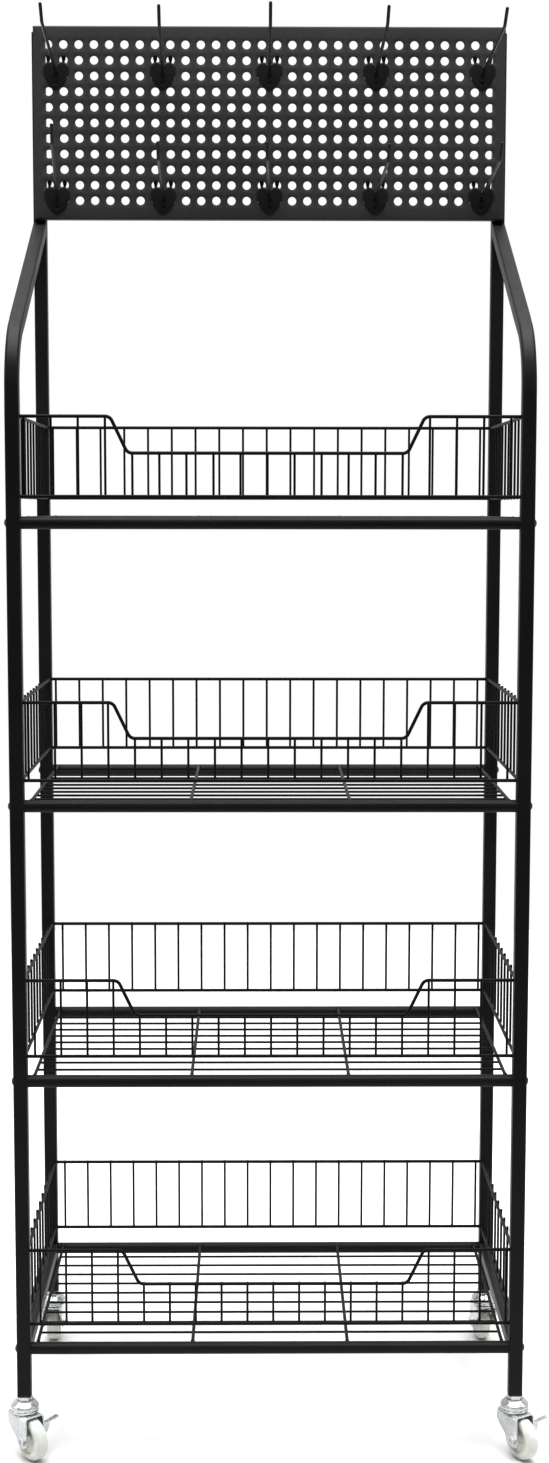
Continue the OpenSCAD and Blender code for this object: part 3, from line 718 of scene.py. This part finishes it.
def wheel(caster):
    """A moulded wheel: dished sides, a proud hub, a rounded tread and its parting line."""
    joint = JOINTS[f"wheel_spin_{caster}"]
    half = list(WHEEL_SIDE)
    for k in range(SHOULDER_STEPS + 1):
        t = math.pi / 2 * k / SHOULDER_STEPS
        half.append((SHOULDER_AT[0] + SHOULDER_R * math.sin(t), SHOULDER_AT[1] + SHOULDER_R * math.cos(t)))
    half += PARTING_LINE
    profile = [(r * MM, -a * MM) for r, a in half] + [(r * MM, a * MM) for r, a in reversed(half)]
    points, faces = lathe(profile, middle(f"wheel_{caster}"), joint["axis"])
    piece = make_piece(f"wheel_moulding_{caster}", points, faces, "white_nylon", f"roller_{caster}")
    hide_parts(f"wheel_{caster}")


# ---- welds ----

# Half sizes of the welds along X, Y and Z in mm: where two wires cross, thin along the
# axis they meet on; where a rail ends on a post; and where a deck rod ends on a tube
CROSS_X, CROSS_Y, CROSS_Z = (0.9, 1.9, 1.9), (1.9, 0.9, 1.9), (1.9, 1.9, 0.9)
END_X, END_Y = (0.9, 2.6, 2.6), (2.6, 0.9, 2.6)
ROD_END = (2.7, 1.3, 2.2)
# A weld's middle lies this far inside the rail's surface, and crossing wires sink together
WELD_IN = 0.1 * MM
WIRE_SINK = 0.3 * MM


def welds():
    """Resistance welds at the wires' crossings, and beads where the rails meet the posts and the deck rods
    meet the tubes.
    """
    rng = random.Random(41)
    spots = []

    def spot(x, y, z, reach):
        spots.append(nugget(Vector((x, y, z)), tuple(r * MM for r in reach), rng))

    on_rail = RAIL_R - WELD_IN
    rear_y = POST_Y - REAR_SET
    deck_top = DECK_Z + WIRE_R
    side_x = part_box("side_guards_1")[1].x - 2 * WIRE_R - RAIL_R + WIRE_SINK
    for n in SHELVES:
        z = SHELF_Z[n]
        for i in range(-GUARD_POSTS, GUARD_POSTS + 1):
            x = i * WIRE_PITCH
            top = GUARD_TOP if abs(x) > DIP_X else GUARD_DIP
            for level in (GUARD_LOW, top):
                spot(FRONT_SHIFTS[n] + x, -POST_Y + on_rail, z + level, CROSS_Y)
            for level in (GUARD_LOW, GUARD_TOP):
                spot(REAR_SHIFTS[n] + x, rear_y + on_rail, z + level, CROSS_Y)
        for side in SIDES:
            for level in (GUARD_LOW, GUARD_TOP):
                for i in range(1, SIDE_WIRES + 1):
                    y = i * 2 * INNER_Y / (SIDE_WIRES + 1) - INNER_Y
                    spot(side * (side_x + on_rail), y, z + level, CROSS_X)
                for end in SIDES:
                    spot(side * INNER_X, rear_y if end > 0 else -POST_Y, z + level, END_X)
                    spot(side * side_x, end * INNER_Y, z + level, END_Y)
        for third in (-1, -1 / 3, 1 / 3, 1):
            x = third * GUARD_POSTS * WIRE_PITCH
            for i in range(-DECK_SIDE_WIRES, DECK_SIDE_WIRES + 1):
                spot(x, i * DECK_PITCH, z + deck_top - WELD_IN, CROSS_Z)
            for end in SIDES:
                spot(x, end * (POST_Y - TUBE_R + 1 * MM), z + deck_top + ROD_R, ROD_END)
    make_piece("wire_welds", *join_shapes(*spots), "wire_powder_coat", "frame", smooth=60)


# ---- stage ----

def add_floor():
    """A plain pale sheet under and behind the stand."""
    n = Nodes("floor")
    n.colour(n.noise(2, 3), (0.69, 0.69, 0.69), (0.72, 0.72, 0.72))
    n.set(Roughness=0.75, Specular_IOR_Level=0.2)
    mesh = bpy.data.meshes.new("floor")
    corners = [(-2.4, -1.1, 0), (2.4, -1.1, 0), (2.4, 3, 0), (-2.4, 3, 0)]
    mesh.from_pydata(corners, [], [(0, 1, 2, 3)])
    mesh.materials.append(n.material)
    floor = bpy.data.objects.new("floor", mesh)
    bpy.context.scene.collection.objects.link(floor)


def add_light(name, kind, place, aim, energy, width=1.0, height=1.0):
    """A lamp aimed at a point; width and height are an area's sides, and width is a sun's angle."""
    data = bpy.data.lights.new(name, kind)
    data.energy = energy
    if kind == "AREA":
        data.shape = "RECTANGLE"
        data.size, data.size_y = width, height
    else:
        data.angle = width
    lamp = bpy.data.objects.new(name, data)
    lamp.location = place
    lamp.rotation_euler = (Vector(aim) - Vector(place)).to_track_quat("-Z", "Y").to_euler()
    bpy.context.scene.collection.objects.link(lamp)


def add_world():
    """A bright wall behind the stand and a dark room in front; the camera sees plain white."""
    world = bpy.data.worlds.new("studio")
    world.use_nodes = True
    tree = world.node_tree

    def add(kind, **inputs):
        node = tree.nodes.new(kind)
        for name, value in inputs.items():
            node.inputs[name.replace("_", " ")].default_value = value
        return node

    split = add("ShaderNodeSeparateXYZ")
    tree.links.new(add("ShaderNodeTexCoord").outputs["Generated"], split.inputs["Vector"])
    wall = add("ShaderNodeMapRange", From_Min=-0.1, From_Max=0.75, To_Min=0.12, To_Max=1.0)
    wall.interpolation_type = "SMOOTHSTEP"
    tree.links.new(split.outputs["Y"], wall.inputs["Value"])
    surround = next(n for n in tree.nodes if n.type == "BACKGROUND")
    tree.links.new(wall.outputs["Result"], surround.inputs["Strength"])
    surround.inputs["Color"].default_value = (1, 1, 1, 1)
    backdrop = add("ShaderNodeBackground", Color=(1, 1, 1, 1))
    rays = add("ShaderNodeLightPath")
    mix = add("ShaderNodeMixShader")
    tree.links.new(rays.outputs["Is Camera Ray"], mix.inputs["Fac"])
    tree.links.new(surround.outputs["Background"], mix.inputs[1])
    tree.links.new(backdrop.outputs["Background"], mix.inputs[2])
    output = next(n for n in tree.nodes if n.type == "OUTPUT_WORLD")
    tree.links.new(mix.outputs["Shader"], output.inputs["Surface"])
    bpy.context.scene.world = world


def add_lights():
    """A high soft sun, a broad top light and two side strips."""
    add_light("sky_panel", "SUN", (0, 0, 4), (0, 0, 0), 3.4, width=1.2)
    add_light("top_softbox", "AREA", (0, -0.5, 3.3), (0, 0.1, 0.9), 105, 2.6, 1.6)
    for side in SIDES:
        add_light(f"side_strip_{side}", "AREA", (2.3 * side, -0.4, 1.3), (0, 0, 1.0), 16, 0.9, 2.2)
    bpy.context.scene.view_settings.view_transform = "Standard"
    bpy.context.scene.view_settings.gamma = 0.8


add_camera()
finish_cad_nodes()
for side in SIDES:
    front_post(side)
panel()
for name in HOOKS:
    hook(name)
for name in CASTERS:
    wheel(name)
welds()
add_floor()
add_world()
add_lights()
